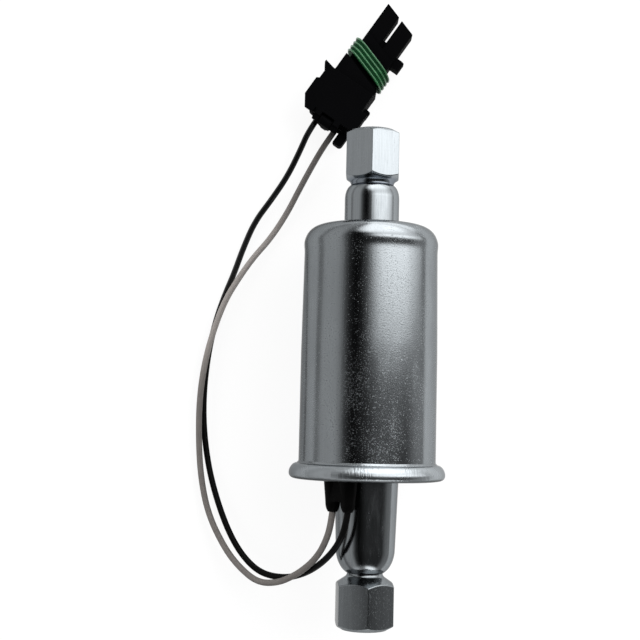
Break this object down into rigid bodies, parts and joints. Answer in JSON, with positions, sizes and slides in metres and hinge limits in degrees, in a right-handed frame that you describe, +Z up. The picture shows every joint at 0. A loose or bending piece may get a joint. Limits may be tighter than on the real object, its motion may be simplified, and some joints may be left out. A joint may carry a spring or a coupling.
{
  "type": "electric fuel pump",
  "caption": "Inline solenoid fuel pump with a round steel can, hexagon port fittings at both ends and two leads to a sealed two-way plug.",
  "frame": {"origin": "on the floor under the middle of the pump, its leads and plug left out", "axes": "+Y along the pump axis from the inlet to the outlet, +Z up, +X across"},
  "size_m": [0.0954, 0.2418, 0.0579],
  "materials": {
    "can_steel": "satin zinc plate",
    "fitting_steel": "zinc plate, turned",
    "inner_steel": "turned",
    "stainless": "drawn tube",
    "spring_steel": "drawn wire",
    "brass": "turned",
    "nitrile": "matte",
    "seal_rubber": "satin green",
    "nylon": "natural",
    "board": "lacquered",
    "package": "moulded",
    "winding": "enamelled copper wire",
    "grey_insulation": "warm grey",
    "black_insulation": "satin",
    "plug_plastic": "moulded"
  },
  "bodies": {
    "pump": {"can": "can_steel", "base_plate": "can_steel", "base_gasket": "nitrile", "lead_grommet": "nitrile", "inlet_fitting": "fitting_steel", "outlet_fitting": "fitting_steel", "outlet_nut": "fitting_steel", "tube_seal": "nitrile", "pump_tube": "stainless", "inlet_strainer": "stainless", "inlet_valve_seat": "brass", "inlet_valve_cage": "brass", "inlet_valve_spring": "spring_steel", "plunger_spring": "spring_steel", "outlet_bumper": "nitrile", "coil_bobbin": "nylon", "drive_winding": "winding", "sensing_winding": "winding", "lower_pole_washer": "inner_steel", "upper_pole_washer": "inner_steel", "flux_sleeve": "inner_steel", "lower_spacer": "inner_steel", "upper_spacer": "inner_steel", "circuit_board": "board", "board_standoffs": "nylon", "power_transistor": "package", "board_capacitor": "package", "grey_lead": "grey_insulation", "black_lead": "black_insulation", "plug_housing": "plug_plastic", "plug_seal": "seal_rubber", "plug_terminals": "brass", "plug_cable_seals": "seal_rubber"},
    "plunger": {"plunger": "inner_steel", "plunger_valve_cage": "brass", "plunger_valve_spring": "spring_steel"},
    "inlet_valve": {"inlet_valve_disc": "nitrile"},
    "plunger_valve": {"plunger_valve_disc": "nitrile"},
    "rear_lock": {"plug_rear_lock": "plug_plastic"}
  },
  "joints": [
    {"name": "plunger_slide", "type": "slide", "parent": "pump", "child": "plunger", "axis": [0, 1, 0], "range_m": [-0.008, 0], "stiffness_N_per_m": 250, "springref_m": 0.004, "deforming": ["plunger_spring"]},
    {"name": "inlet_valve_slide", "type": "slide", "parent": "pump", "child": "inlet_valve", "axis": [0, 1, 0], "range_m": [0, 0.0012], "stiffness_N_per_m": 30, "springref_m": -0.001, "deforming": ["inlet_valve_spring"]},
    {"name": "plunger_valve_slide", "type": "slide", "parent": "plunger", "child": "plunger_valve", "axis": [0, 1, 0], "range_m": [0, 0.0012], "stiffness_N_per_m": 30, "springref_m": -0.001, "deforming": ["plunger_valve_spring"]},
    {"name": "plug_rear_lock_hinge", "type": "hinge", "parent": "pump", "child": "rear_lock", "pos_m": [-0.01815, 0.10026, 0.0125], "axis": [0.829, -0.5592, 0], "range_deg": [0, 75]}
  ]
}
